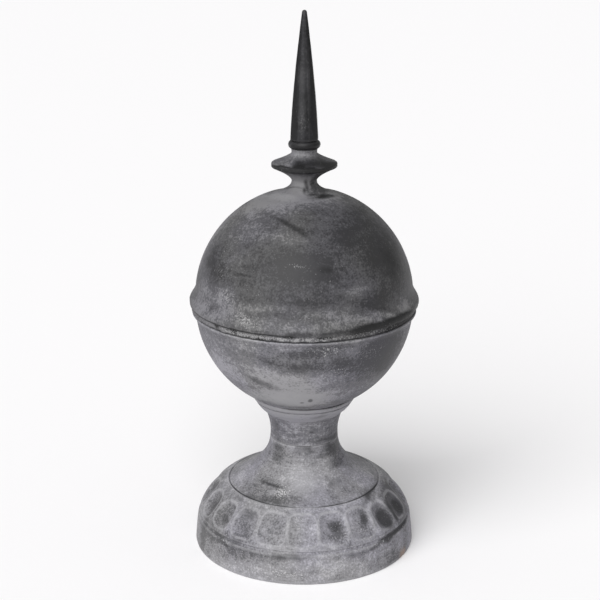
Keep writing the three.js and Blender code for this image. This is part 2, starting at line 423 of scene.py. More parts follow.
# from the skin outwards: painted mask, the look that colours it, and its grain, raggedness and softness
# the edge patch is wear and painted highlight on ridges, the stain patch stains and painted shade, and the hollow
# patch grime and painted shade in creases
patches = [("edge", "worn", 170, 0.8, 0.3), ("paleAndLight", "paleAndLight", 60, 0.6, 0.4), ("stainAndShade", "stainAndShade", 85, 0.75, 0.34),
           ("hollow", "grime", 150, 0.85, 0.3)]
rustPatch = ("rust", "rust", 140, 0.8, 0.4)
surface = {"speckScale": 560, "speckRough": 0.15, "bumpDepth": 0.0006}  # the depth is in metres


def weathered(name, look):
    # one finish for all castings, with its own greys and amounts for each
    material = bpy.data.materials.new(name)
    material.use_nodes = True
    tree = material.node_tree
    shader = tree.nodes["Principled BSDF"]
    place = addNode(tree, "ShaderNodeTexCoord").outputs["Object"]

    def painted(mask):
        return addNode(tree, "ShaderNodeAttribute", attribute_name=mask).outputs["Fac"]

    def effect(group, inputs):
        return addNode(tree, "ShaderNodeGroup", {"Place": place, **inputs}, node_tree=group).outputs

    def cover(shade, mask, key):
        return blendColour(tree, calc(tree, "MULTIPLY", mask, look[key + "Amount"]), shade, look[key + "Colour"])

    def coverPatch(shade, patch):
        mask, key, scale, ragged, softness = patch
        patchMask = effect(brokenPatch, {"Painted": painted(mask), "Scale": scale, "Break": ragged,
                                         "Softness": softness})["Mask"]
        return cover(shade, patchMask, key)

    skin = effect(cloudedGrey, {
        "Painted": painted("toneAndLight"), "Turning": painted("turning"), "Dark": look["dark"], "Middle": look["middle"],
        "Light": look["light"], "Cloud Scale": look["cloudScale"], "Clouds": look["clouds"],
        "Streak Scale": look["streakScale"], "Streaks": look["streaks"], "Mottle": look["mottle"],
        "Grain": look["grain"]})
    specks = effect(chalkSpecks, {"Painted": painted("bloom"), "Everywhere": look["specks"],
                                  "Scale": surface["speckScale"]})
    cast = effect(castSkin, {"Grain Scale": look["skinScale"], "Pits": look["pits"]})

    shade = skin["Color"]
    for patch in patches:
        shade = coverPatch(shade, patch)
    shade = cover(shade, specks["Mask"], "speck")
    shade = blendColour(tree, cast["Pit"], shade, look["grimeColour"])
    if "rustColour" in look:
        shade = coverPatch(shade, rustPatch)
    tree.links.new(shade, shader.inputs["Base Color"])

    rough = calc(tree, "MULTIPLY", skin["Tone"], look["roughSpread"])
    rough = calc(tree, "ADD", rough, look["rough"])
    rough = calc(tree, "ADD", rough, calc(tree, "MULTIPLY", specks["Mask"], surface["speckRough"]), clamp=True)
    tree.links.new(rough, shader.inputs["Roughness"])

    height = calc(tree, "ADD", cast["Height"], specks["Height"])
    bump = addNode(tree, "ShaderNodeBump", {"Strength": look["bump"], "Distance": surface["bumpDepth"],
                                            "Height": height})
    tree.links.new(bump.outputs["Normal"], shader.inputs["Normal"])
    shader.inputs["Metallic"].default_value = look["metallic"]
    shader.inputs["Specular IOR Level"].default_value = look["specular"]
    return material


def grey(level, blue=0.0, green=-0.008):
    return (level, level * (1 + green), level * (1 + blue), 1)


# foot and stem

foot = {
    "sectors": 20, "steps": 32, "soften": 0.45,
    "radius": 123.6, "bandTop": (120.9, 30.2), "bandBow": 0.3, "edge": 1.8, "edgeBow": 0.29,
    "cove": (118.6, 33.4), "coveFootBow": 0.55, "coveTopBow": -0.7,
    "mouldingFoot": (118.7, 37), "shoulder": (85.9, 73), "mouldingBow": 4.5,
    "groove": (84.7, 71.2), "stemFoot": 83.5, "stemSteps": 26,
    "waistRadius": 37.7, "waist": 131.2, "seam": 124.2, "stemPower": 2.55,
    "panels": 20, "panelTurn": -0.8, "panelDepth": 4, "panelMiddle": -2.1, "panelHalf": 18.4,
    "panelPower": 4.2, "powerWear": 1.4, "panelShift": 0.8, "panelWobble": 0.05, "panelRim": 1.6,
    "ribHalf": 1.4, "ribWear": 2, "endWear": 3.2, "wornFrom": 24, "wornAt": 50,
    "lumps": [(0.22, 34, 1), (0.12, 11, 5)], "setIn": 0.12,
    "stainsAndShade": [(-34, 85, 19.3, 3, -4, 0.7), (-50, 82, 9.4, 2.3, 0, 0.4), (18, 56, 9, 8.5, 0, 0.62),
        (14, 53, 6.6, 7.5, 0, 0.35), (40, 57, 5.5, 9.7, -20, 0.6), (46, 118, 12.4, 14.9, 0, 0.6),
        (52, 101, 13.3, 10, 0, 0.45), (28, 112, 7.5, 4.4, 0, 0.35), (-46, 109, 11.7, 10, 0, 0.45),
        (-50, 118, 10.9, 6.9, 0, 0.55), (0, 125, 13.2, 3.5, 0, 0.5), (12, 118, 9.1, 3.4, 0, 0.4),
        (-36, 75, 26.1, 6, 10, 0.4), (-18, 84, 11.4, 3.7, 0, 0.3), (-45, 28, 38, 3.3, -22, 0.35),
        (-7, 32, 25.8, 4.8, 0, 0.3), (27, 27, 31.2, 3.5, 8, 0.15), (49, 30, 9, 3, 0, 0.55),
        (42, 31, 16.9, 2.2, 10, 0.4), (36, 86, 16.1, 7, 0, 0.35), (-54, 49, 8.4, 6.6, 0, 0.45),
        (-38, 62, 13.3, 8.8, 0, 0.5), (-72, 52, 9.2, 11.4, 20, 0.35), (59, 71, 18.6, 3.4, 30, 0.4),
        (52, 71, 22, 5, 24, 0.5), (-50, 70, 9.4, 3.4, 0, 0.4), (54.5, 49.5, 12, 13.5, 0, 1),
        (73.5, 48.5, 9, 10, 0, 1), (124.5, 52, 11, 12, 0, 0.7), (-127, 50, 9, 9, 0, 0.5),
        (178, 54, 12, 13, 0, 0.5), (160, 26, 30, 4, -6, 0.45), (-110, 24, 24, 4, 6, 0.4),
        (150, 84, 16, 4, 8, 0.5), (-165, 112, 12, 8, 0, 0.45), (63, 50, 4, 12, 0, 0.8),
        (63.5, 56, 8.5, 11, -12, 0.85)],
    "blooms": [(-21, 82, 10.4, 9.9, 0, 0.7), (-10, 12, 30.5, 6.8, 0, 0.5), (22, 37, 34.5, 15, 0, 0.25),
        (-2, 61, 10.7, 11.3, 0, 0.25), (-46, 32, 23.7, 8.9, 0, 0.3), (-32, 51, 9.9, 6.4, 0, 0.2),
        (-64, 13, 11.8, 16.9, 0, 0.2), (37, 33, 23.9, 11.3, 0, 0.3), (-6, 100, 22.1, 9, 0, 0.2),
        (-150, 80, 12, 9, 0, 0.6), (140, 12, 28, 7, 0, 0.4), (-175, 34, 30, 12, 0, 0.25)],
    "palesAndLight": [(0, 90, 16, 20, 0, 0.8)],
    "tonesAndLight": [(0, 96, 24.2, 18.5, 0, 0.06), (75, 55, 19.7, 25.1, 15, -0.4), (82, 68, 21.5, 16, 40, -0.1),
        (82, 81, 46, 13.6, 0, 0.28), (-88, 80, 38.8, 13.9, 0, 0.1), (-38, 86, 18.6, 7, 0, -0.25),
        (-46, 78, 26.8, 11.6, 0, -0.24), (-6, 118, 17.7, 5.6, 0, 0.05), (54, 15, 20.5, 23.8, 0, -0.2),
        (-41, 5, 22, 5.8, 0, 0.1), (-61, 64, 26.7, 11, 0, -0.1), (29, 59, 6.1, 15.3, 0, 0.4),
        (46, 67, 6, 8.9, -20, 0.15), (45, 45, 4.4, 5.4, -20, 0.2), (-43, 30, 34, 8.9, -20, -0.2),
        (-22, 29, 22.9, 4.7, -8, -0.2), (46, 24, 24, 5.9, 20, 0.05), (-7, 11, 21.6, 6.8, 0, -0.12),
        (-68, 27, 8.6, 22.1, 0, -0.4), (-21, 56, 13.7, 15.2, 0, -0.1), (0, 57, 12.9, 15.3, 0, 0.1),
        (-86, 57, 21.6, 14.3, 0, -0.15), (-6, 107, 8.9, 8.8, 0, 0.1), (20, 53, 5.7, 10.7, 0, -0.25),
        (-38, 48, 13.3, 12.9, 0, -0.3), (-32, 36, 15, 5.4, 0, -0.15), (68, 27, 8.6, 26.5, 0, -0.3),
        (-16, 78, 27.1, 7.7, 0, -0.15), (-27, 15, 19.1, 5.7, 0, 0.2), (17, 17, 15.7, 6.8, 0, 0.15),
        (28, 98, 14.9, 11.2, 0, 0.1), (-56, 31, 13.8, 8.8, 0, -0.3), (150, 16, 34, 9, 0, -0.16),
        (-140, 14, 26, 8, 0, 0.14), (-160, 90, 22, 16, 0, 0.12), (130, 84, 20, 9, 0, -0.16),
        (78, 58, 12, 16, 0, -0.3), (70, 112, 14, 22, 0, -0.28), (-60, 50, 24, 14, 0, -0.12),
        (50, 73, 22.5, 5.7, 30, -0.3), (-38, 33, 18.7, 4.5, -20, -0.15), (-27, 74, 24.1, 5, 6, -0.15),
        (39, 57, 5.5, 10.8, -20, -0.25), (14, 42, 11, 3.2, 0, 0.1)],
    "rusts": [(63, 4.5, 10, 7, 20, 0.5)],
    # the dark rings in the groove at the stem's foot are dirt and painted shade, strongest towards the front,
    # where one looks into the groove; the two rings at 108 degrees on the next list take it away where the groove
    # is seen side on
    "dirtAndShadeRings": [(84.6, 71.5, 1.9, 0.85, 44, 34), (84.6, 71.5, 1.8, 0.8, -40, 32),
        (119.4, 29, 5, 0.3, -20, 60), (118.8, 33.6, 3, 0.85, 60, 15), (84.6, 71.5, 1.2, 0.4, 0, 20)],
    "lessDirtAndShadeRings": [(118.3, 33.5, 3.5, 0.75, 0, 180), (84.8, 72, 3, 0.6, -8, 16), (103, 54, 26, 0.3, 0, 180),
        (84.7, 71.5, 3, 0.7, 108, 28), (84.7, 71.5, 3, 0.7, -108, 28)],
    "turningRings": [(46, 108, 15, 0.9, 0, 180)],
    "toneAndLightRings": [(88, 72, 4, 0.12, 0, 180), (40, 118, 12, -0.08, 0, 180)],
}


def stemRadius(height):
    t = (foot["waist"] - height) / (foot["waist"] - foot["shoulder"][1])
    return foot["waistRadius"] + (foot["stemFoot"] - foot["waistRadius"]) * t ** foot["stemPower"]


def panelHollow(place):
    # how deep the nearest panel is here, how much of its full depth that is, and which way is out
    start, end = Vector(foot["mouldingFoot"]), Vector(foot["shoulder"])
    along = (end - start).normalized()
    outward = Vector((along.y, -along.x))
    radius = math.hypot(place.x, place.y) / mm
    here = Vector((radius, place.z / mm)) - (start + end) / 2
    pitch = 360 / foot["panels"]
    turn = angleApart(frontAngle(place), foot["panelTurn"])
    which = round(turn / pitch)
    chance = noise.cell_vector(Vector((which * 1.7 + 0.5, 3.5, 0.5)))
    # panels away from the front are more worn: shorter, narrower and rounder
    worn = fade(abs(which * pitch), foot["wornFrom"], foot["wornAt"]) * (0.7 + 0.3 * chance.x)
    half = radius * math.radians(pitch / 2) - foot["ribHalf"] - foot["ribWear"] * worn
    x = radius * math.radians(turn - which * pitch) / half
    tall = foot["panelHalf"] - foot["endWear"] * worn
    middle = foot["panelMiddle"] - foot["endWear"] * worn * 0.7 + foot["panelShift"] * (chance.y - 0.5)
    y = (here.dot(along) - middle) / tall
    power = foot["panelPower"] - foot["powerWear"] * worn
    edge = (abs(x) ** power + abs(y) ** power) ** (1 / power)
    edge += foot["panelWobble"] * lump(place, 9, 2)
    # flat in the middle, with a soft step up to the ribs
    sunk = 1 - min(edge, foot["panelRim"]) ** 4
    sunk = (sunk + math.sqrt(sunk * sunk + 0.02)) / 2 * fade(foot["panelRim"] - edge, 0, 0.4)
    depth = foot["panelDepth"] * (0.8 + 0.25 * worn + 0.2 * (chance.z - 0.5)) * (0.95 + 0.25 * y)
    return depth * sunk, sunk, outward


def shapeFoot():
    shoulder, mouldingFoot, cove = foot["shoulder"], foot["mouldingFoot"], foot["cove"]
    radius, edge, top = foot["radius"], foot["edge"], foot["bandTop"]
    outline = [(0, 0), (60, 0), (110, 0)]
    outline += bowedLine((radius - edge, 0), (radius, edge), edge * foot["edgeBow"], 4)
    outline += bowedLine((radius, edge), top, foot["bandBow"], 14)[1:]
    outline += bowedLine(top, cove, foot["coveFootBow"], 6)[1:]
    outline += bowedLine(cove, mouldingFoot, foot["coveTopBow"], 6)[1:]
    outline += bowedLine(mouldingFoot, shoulder, foot["mouldingBow"], 36)[1:]
    outline.append(foot["groove"])
    for i in range(foot["stemSteps"] + 1):
        height = shoulder[1] + (foot["seam"] - shoulder[1]) * i / foot["stemSteps"]
        outline.append((stemRadius(height), height))
    outline.append((0, foot["seam"]))
    bm = turned(outline, foot)
    field = bm.verts.layers.float.new("field")
    for v, radial, height in offAxis(bm):
        if mouldingFoot[1] - 0.5 < height < shoulder[1] and radial.dot(v.co) / mm > shoulder[0] - 0.1:
            depth, v[field], outward = panelHollow(v.co)
            v.co -= (radial * outward.x + Vector((0, 0, outward.y))) * depth * mm
        if height > 1:
            v.co += radial * uneven(v.co, foot["lumps"], foot["setIn"]) * mm
    return bm


footFinish = weathered("weatheredFoot", {
    "dark": grey(0.095, 0.04), "middle": grey(0.225, 0.045), "light": grey(0.39, 0.04),
    "cloudScale": 24, "clouds": 0.7, "streakScale": 30, "streaks": 0.6, "mottle": 0.75, "grain": 1,
    "paleAndLightColour": grey(0.33, 0.04), "paleAndLightAmount": 0.45,
    "stainAndShadeColour": grey(0.036, 0.06), "stainAndShadeAmount": 0.9,
    "grimeColour": grey(0.05, 0.03), "grimeAmount": 0.8,
    "wornColour": grey(0.36, 0.03), "wornAmount": 0.4,
    "speckColour": grey(0.55), "speckAmount": 0.7, "specks": 0.5,
    "rustColour": (0.36, 0.22, 0.12, 1), "rustAmount": 0.6,
    "skinScale": 700, "pits": 0.5, "bump": 0.5, "rough": 0.5, "roughSpread": 0.25,
    "metallic": 0.1, "specular": 0.2,
})
footPiece = finishPiece("foot_casting", shapeFoot(), footFinish, "base")
weatherPiece(footPiece, foot)
print("foot made")


# neck, collar and lower half of the ball

bowl = {
    "sectors": 20, "steps": 21, "soften": 0.35,
    "foot": 124.5, "collarFoot": (43.3, 156.2), "neckPower": 1.9, "collarTop": (54.7, 168.6), "collarBow": 1.1,
    "beadGroove": 0.9, "ballFoot": (57.5, 176), "beadBow": 0.9,
    "radius": 119.1, "centre": 280.3, "joint": 273.5,
    "lip": 122.7, "lipHeight": 9.4, "lipPower": 1.6, "lipEdge": 1.1,
    "lumps": [(0.2, 40, 3), (0.08, 12, 4)], "setIn": 0.1, "evenAbove": 272.5,
    "stainsAndShade": [(-26, 219, 22, 6.9, -24, 0.6), (-32, 257, 19.4, 4.7, -10, 0.35), (-2, 244, 16.5, 7.8, 0, 0.5),
        (19, 250, 17.5, 9.9, 0, 0.4), (4, 197, 2.3, 4.1, 0, 1), (-2, 193, 2.7, 2.6, 0, 0.6),
        (-17, 245, 10.8, 5.2, -30, 0.3), (19, 163, 13.9, 3.3, 2, 0.45), (0, 153, 17.5, 2.1, 0, 0.35),
        (64, 128, 16.7, 3.6, 0, 0.7), (-52, 144, 6.4, 12.6, 0, 0.45), (31, 129, 17.9, 1.9, 3, 0.5),
        (-13, 136, 11.2, 2.5, 0, 0.3), (155, 228, 20, 5, 20, 0.5), (-150, 246, 22, 7, -8, 0.45),
        (115, 252, 16, 6, 0, 0.35)],
    "blooms": [(10, 264, 25.1, 7.1, 0, 0.55), (36, 255, 20.7, 9.5, 0, 0.35), (16, 237, 26, 12.3, 0, 0.3),
        (-28, 267, 16.3, 5.2, -8, 0.35), (27, 207, 26.2, 10.2, 0, 0.25), (170, 262, 30, 6, 0, 0.5),
        (-130, 240, 22, 12, 0, 0.35)],
    # the pale marks low on the ball's front are painted light on the underside that faces the floor
    "palesAndLight": [(-15, 192, 37.3, 15.7, 0, 0.9), (-2, 204, 31.6, 8.5, 0, 0.5)],
    "tonesAndLight": [(-7, 215, 46, 25, 0, 0.42), (-52, 227, 39.7, 35.7, 0, 0.24), (-50, 188, 25.4, 8.7, 25, 0.3),
        (-2, 242, 35.1, 8, 0, -0.3), (47, 252, 33.9, 30.9, 0, -0.46), (32, 248, 22.1, 14.9, 0, -0.2),
        (20, 246, 11, 10.1, 0, -0.35), (-2, 258, 20.5, 4.8, 0, -0.3), (-22, 230, 20.2, 11.5, 0, 0.2),
        (-3, 195, 36.1, 13.5, 0, 0.35), (-31, 264, 24.1, 9.4, 0, 0.15), (-7, 267, 20.6, 5.4, 0, 0.2),
        (24, 260, 22.6, 7, 0, 0.1), (-20, 251, 13.2, 6.1, 0, -0.2), (-9, 147, 15.5, 11.1, 0, 0.14),
        # the last two marks on the next line lighten the front of the collar: painted light
        (59, 137, 13.3, 17.2, 0, -0.05), (-21, 172, 29.8, 5.5, 0, 0.5), (-5, 159, 21.9, 10.3, 0, 0.4),
        (-54, 134, 8.4, 9.8, 0, -0.2), (-90, 232, 16, 38, 0, 0.3), (140, 236, 40, 18, 10, 0.25),
        (-155, 250, 44, 12, -6, -0.25), (180, 205, 36, 12, 0, 0.3), (5, 265, 35, 10.8, 0, -0.24),
        (19, 268, 15.2, 5.8, -8, -0.2), (-46, 250, 14.9, 19.2, 30, -0.1), (47, 252, 18.5, 19, 0, -0.1),
        (-2, 247, 26.8, 6.4, 0, -0.12)],
    "dirtAndShadeRings": [(56.8, 175.8, 1.6, 0.7, 14, 34), (56.8, 175.8, 1.6, 0.3, 0, 180),
        (54.3, 169, 1.2, 0.35, 0, 180)],
    # lighter rings: a painted highlight along the lip below the joint, and painted light on the collar and its
    # flare, which face down
    "toneAndLightRings": [(122, 272, 2.2, 0.3, 0, 180), (49, 163, 8, 0.5, 0, 180), (54.5, 170, 7, 0.35, -10, 120)],
    # these rings keep the hollows' grime and painted shade off the collar and the bead
    "lessDirtAndShadeRings": [(47, 160, 8, 0.5, 0, 180), (60, 179, 5, 0.5, 0, 180), (56.8, 175.8, 2, 0.3, -50, 60),
        (54.3, 169, 1.6, 0.35, 0, 180)],
    "turningRings": [(38, 140, 18, 0.9, 0, 180)],
}


def shapeBowl():
    waist = (foot["waistRadius"], foot["waist"])
    collarFoot, collarTop, ballFoot = bowl["collarFoot"], bowl["collarTop"], bowl["ballFoot"]
    groove, joint, radius = bowl["beadGroove"], bowl["joint"], bowl["radius"]
    lipFoot = joint - bowl["lipHeight"]
    lipFootRadius = math.sqrt(radius ** 2 - (bowl["centre"] - lipFoot) ** 2)
    outline = [(0, bowl["foot"]), (20, bowl["foot"])]
    outline += [(stemRadius(height), height) for height in (bowl["foot"], 126, 128, 129.6)]
    outline += sweepLine(waist, collarFoot, bowl["neckPower"], 14)[:-1]
    outline += bowedLine(collarFoot, collarTop, bowl["collarBow"], 9)[1:]
    outline += [(collarTop[0] - groove, collarTop[1] + groove / 2)]
    outline += bowedLine((collarTop[0], collarTop[1] + groove), (ballFoot[0], ballFoot[1] - groove),
                         bowl["beadBow"], 7)
    outline += [(ballFoot[0] - groove, ballFoot[1] - groove / 2)]
    outline += ballLine(radius, bowl["centre"], ballFoot[1], lipFoot, 58)
    outline += sweepLine((lipFootRadius, lipFoot), (bowl["lip"], joint - bowl["lipEdge"]), bowl["lipPower"], 9)[1:]
    outline += [(bowl["lip"] - bowl["lipEdge"], joint), (116, joint), (60, joint), (0, joint)]
    bm = turned(outline, bowl)
    for v, radial, height in offAxis(bm):
        if height <= bowl["evenAbove"]:
            v.co += radial * uneven(v.co, bowl["lumps"], bowl["setIn"]) * mm
    return bm


bowlFinish = weathered("weatheredBowl", {
    "dark": grey(0.058, 0.07), "middle": grey(0.14, 0.06), "light": grey(0.29, 0.04),
    "cloudScale": 17, "clouds": 0.6, "streakScale": 24, "streaks": 0.5, "mottle": 0.75, "grain": 0.95,
    "paleAndLightColour": grey(0.34, 0.02), "paleAndLightAmount": 0.7,
    "stainAndShadeColour": grey(0.045, 0.05), "stainAndShadeAmount": 0.7,
    "grimeColour": grey(0.03, 0.03), "grimeAmount": 0.85,
    "wornColour": grey(0.27, 0.02), "wornAmount": 0.4,
    "speckColour": grey(0.45), "speckAmount": 0.65, "specks": 0.4,
    "skinScale": 700, "pits": 0.5, "bump": 0.45, "rough": 0.5, "roughSpread": 0.2,
    "metallic": 0.1, "specular": 0.2,
})
bowlPiece = finishPiece("lower_bowl_casting", shapeBowl(), bowlFinish, "lower_bowl")
weatherPiece(bowlPiece, bowl)
print("lower bowl made")


# upper half of the ball with its overhanging rim, small neck, disc and stud

dome = {
    "sectors": 20, "steps": 24, "soften": 0.5,
    "foot": 273.8, "recess": 120.7, "recessTop": 279, "recessBow": -0.4,
    "rimFoot": (124.4, 280.8), "rimNose": (125.5, 284.6), "rimTop": (124.4, 288.4), "rimBow": 0.35,
    "rimPower": 1.9, "flareTop": 303.8,
    "radius": 119.1, "centre": 287.9,
    "crown": (43.7, 398.7), "throat": (13.7, 416.7), "throatPower": 2.3,
    "disc": 35.4, "discFoot": 431.7, "discTop": 435.3, "underPower": 1.55, "topPower": 1.3,
    "stud": 446.3, "studTop": 451.1, "studRadius": 14.3, "studBow": -0.2,
    "lumps": [(0.22, 45, 6), (0.08, 13, 7)], "setIn": 0.12,
    "rimLumps": [(0.35, 9, 9)], "rimSetIn": 0.3, "rimEnd": 290,
    "crustFoot": 274, "crustFull": 275.2, "crustTop": 281, "crustReach": 123.4,
    "crustThin": 0.3, "crustThick": 2.2, "crustEnd": 30,
    "stainsAndShade": [(-12, 383.5, 33, 4.2, -31, 0.55), (12, 347, 10.4, 4.2, 0, 0.5), (-35, 337, 18.9, 2.1, 4, 0.36),
        (-70, 345, 11, 14.9, 0, 0.3), (48, 404, 17, 4.6, -6, 0.75), (21, 406, 8.1, 2.9, 0, 0.5),
        (59, 341, 16.3, 27.3, 0, 0.35), (-34, 373, 17.5, 4.4, 50, 0.3), (13, 327, 12.6, 4.1, 0, 0.3),
        # stains under the disc's edge, on this line and the first of the next: dirt and painted shade
        (-12, 437, 9, 5, 0, 0.7), (10, 436, 9, 4, 0, 0.6), (64, 435.5, 16, 8, 0, 1),
        (-40, 437, 15.9, 2.3, 0, 0.75), (9, 413, 2.8, 9, 8, 0.5), (34, 416, 5, 4, 0, 0.35),
        (-62, 410, 17.3, 1.3, 25, 0.5), (140, 384, 22, 4, 24, 0.5), (170, 336, 20, 3, -6, 0.4),
        (-160, 352, 16, 5, 20, 0.4), (-120, 300, 22, 4, 0, 0.35), (118, 310, 18, 6, 0, 0.4),
        (20, 330, 9, 1.6, 10, 0.4), (-20, 352, 9, 1.5, -12, 0.35), (27, 404, 14.4, 4.4, 0, 0.45),
        # from the second mark on, dark patches in the recess under the rim: dirt and painted shade
        (0, 409, 2.7, 5.5, 0, 0.5), (-36, 279.5, 5, 3, 0, 0.7), (-48, 279, 4, 2.5, 0, 0.6),
        (-8, 280, 7, 1.6, 0, 0.6), (10, 279, 9, 1.8, 0, 0.6), (26, 280, 8, 2, 0, 0.65),
        (-22, 277, 5, 1.4, 0, 0.5)],
    "blooms": [(-44, 312, 17.4, 9.4, 0, 0.55), (-31, 293, 19.2, 6.2, -15, 0.75),
        (-4, 350, 11.2, 3.2, -15, 0.6), (-55, 364, 25, 27.4, 0, 0.2), (-28, 399, 18.6, 7.4, 0, 0.3),
        (37, 384, 10.5, 4.7, 0, 0.2), (-2, 301, 20.3, 5.1, 0, 0.3), (-51, 336, 16.5, 14.6, 0, 0.3),
        (160, 298, 26, 6, 0, 0.6), (-140, 306, 20, 8, 10, 0.5), (125, 352, 16, 10, 0, 0.3),
        (-170, 380, 20, 8, -20, 0.3)],
    # the first and sixth pale marks lighten the throat's left under the disc: painted light
    "palesAndLight": [(-30, 417, 10.6, 9.3, 0, 0.8), (-14, 448, 10, 4.4, 0, 0.5), (-60, 402, 26, 7, 10, 0.85),
        (-40, 404, 16, 5, 0, 0.7), (-12, 408, 6.4, 5.4, 0, 0.4), (-30, 420, 8, 6, 0, 0.6),
        (70, 404, 16, 5, 0, 0.5)],
    "tonesAndLight": [(-2, 348, 46, 33.5, 0, -0.32), (4, 342, 20.4, 10.3, 0, -0.2), (50, 370, 46, 44.9, 0, -0.38),
        (40, 308, 24.7, 10.5, 0, -0.4), (55, 342, 22.2, 27.2, 0, -0.2), (61, 311, 12.8, 21.6, 0, -0.05),
        (-58, 395, 46, 16.8, 20, 0.25), (-46, 407, 25.7, 8.4, 0, 0.3), (-98, 395, 46, 8.9, 28, 0.3),
        (-7, 402, 31.6, 15.7, 0, 0.3), (61, 396, 34.2, 8.9, 0, 0.2), (-44, 306, 40.2, 12.7, -15, 0.22),
        (-64, 339, 18, 19, 0, -0.2), (-12, 375, 20.9, 9.6, -20, 0.25), (-53, 379, 33.8, 17.3, 0, 0.1),
        (44, 294, 23.3, 3.1, -20, 0.2), (-57, 349, 18.6, 8.4, 0, 0.08), (-67, 297, 19.6, 15.1, -30, 0.25),
        (-45, 295, 20.5, 5.2, 20, 0.2), (-21, 307, 32.8, 4.1, 5, 0.2), (8, 304, 24.7, 5.2, 0, 0.2),
        (23, 375, 22.5, 11.7, 0, -0.2), (-56, 318, 11.1, 14.9, 0, -0.2), (-22, 327, 13.2, 8.2, 0, 0.2),
        (-36, 360, 17.7, 10.6, 0, -0.2), (-29, 345, 14, 4.1, 0, -0.15), (-30, 391, 11.9, 12.9, 0, -0.1),
        (24, 352, 11.3, 8.4, 0, 0.15), (62, 293, 10.9, 10.6, 20, 0.3), (21, 321, 22, 6.1, 0, 0.15),
        (3, 313, 20.3, 4.1, 0, -0.15), (33, 323, 17.4, 4.1, 0, 0.2), (-90, 360, 16, 42, 0, 0.3),
        (92, 355, 12, 40, 0, -0.2), (-105, 397, 34, 9, 0, 0.4), (115, 398, 26, 9, 0, 0.25),
        (150, 350, 40, 22, 8, 0.2), (-150, 375, 44, 14, -12, -0.2), (185, 318, 36, 10, 0, 0.18),
        (-125, 320, 26, 14, 6, -0.16), (-19, 380, 26.1, 7.4, -10, -0.18), (-34, 379, 12.4, 5.7, 0, -0.15),
        (3, 383, 12.4, 9.2, 0, -0.2), (13, 317, 31.4, 8.1, 0, -0.14), (-7, 342, 41, 8.3, 0, -0.1),
        (41, 301, 22.3, 4.2, -20, -0.25), (69, 349, 21.8, 25.5, 0, -0.12), (-56, 329, 22, 10.5, 0, -0.12),
        (-56, 299, 18.3, 5.3, 20, 0.15), (-20, 304, 26, 4.2, 5, 0.18), (23, 297, 29.1, 4.1, -8, 0.18),
        (-58, 386, 37.9, 6.5, -20, 0.12), (100, 402, 30, 8, 0, 0.35), (60, 402, 20, 8, 0, 0.3),
        (-100, 404, 30, 8, 0, 0.3), (-88, 286, 12, 6, 0, -0.25), (88, 290, 12, 8, 0, -0.3)],
    "bloomRings": [(122.8, 277.5, 3, 0.9, 5, 50)],
    # these rings keep the hollows' grime and painted shade off the recess on the left, the throat under the disc
    # and the foot of the stud
    "lessDirtAndShadeRings": [(122.5, 278, 6, 0.35, -25, 58), (13.7, 417, 9, 3, -30, 100), (14, 446, 5, 1, 0, 180)],
    # dark rings under the rim are dirt and painted shade, heaviest on the right, where the rim's underside faces
    # down away from the light; the ring round the disc's edge is dirt and painted shade too
    "dirtAndShadeRings": [(124.8, 285, 5.2, 1, 46, 21), (122, 276.5, 4.5, 1, 62, 18), (124.8, 284, 4.5, 0.42, 8, 18),
        (121.5, 274.5, 1.6, 0.5, -15, 60), (35.4, 433, 2.5, 0.9, 0, 180), (124.6, 281.6, 1.6, 0.65, -50, 40),
        (122.5, 277.5, 3, 0.18, -20, 60), (27, 439, 6, 0.5, 16, 38)],
    # lighter and darker rings: wear and painted highlight along the rim's crest, painted light in the recess on
    # the left and on the throat's left under the disc, painted shade on the rim's nose on the right, and the disc
    # lighter on its left and darker on its right
    "toneAndLightRings": [(124, 290, 4, 0.12, 0, 180), (123, 279, 4, 0.25, -20, 50), (14, 419, 9, 0.7, -45, 70),
        (24, 440, 8, 0.1, -60, 60), (33, 430, 6, 0.2, 0, 180), (34, 434, 6, -0.2, 40, 40),
        (126, 284, 5, -0.25, 80, 30), (14, 448, 7, 0.3, 0, 180), (25, 440, 8, -0.42, 18, 46)],
}


def crustDepth(place, height):
    # lumps in the recess, thick from the back round the left to the front and thin on the right
    left = fade(-angleApart(frontAngle(place), 0), -dome["crustEnd"], 0)
    crust = dome["crustThin"] + dome["crustThick"] * left
    crust *= (0.75 + 0.6 * lump(place, 6, 8)) * fade(height, dome["crustFoot"], dome["crustFull"])
    return min(crust, max(dome["crustReach"] - place.xy.length / mm, 0))


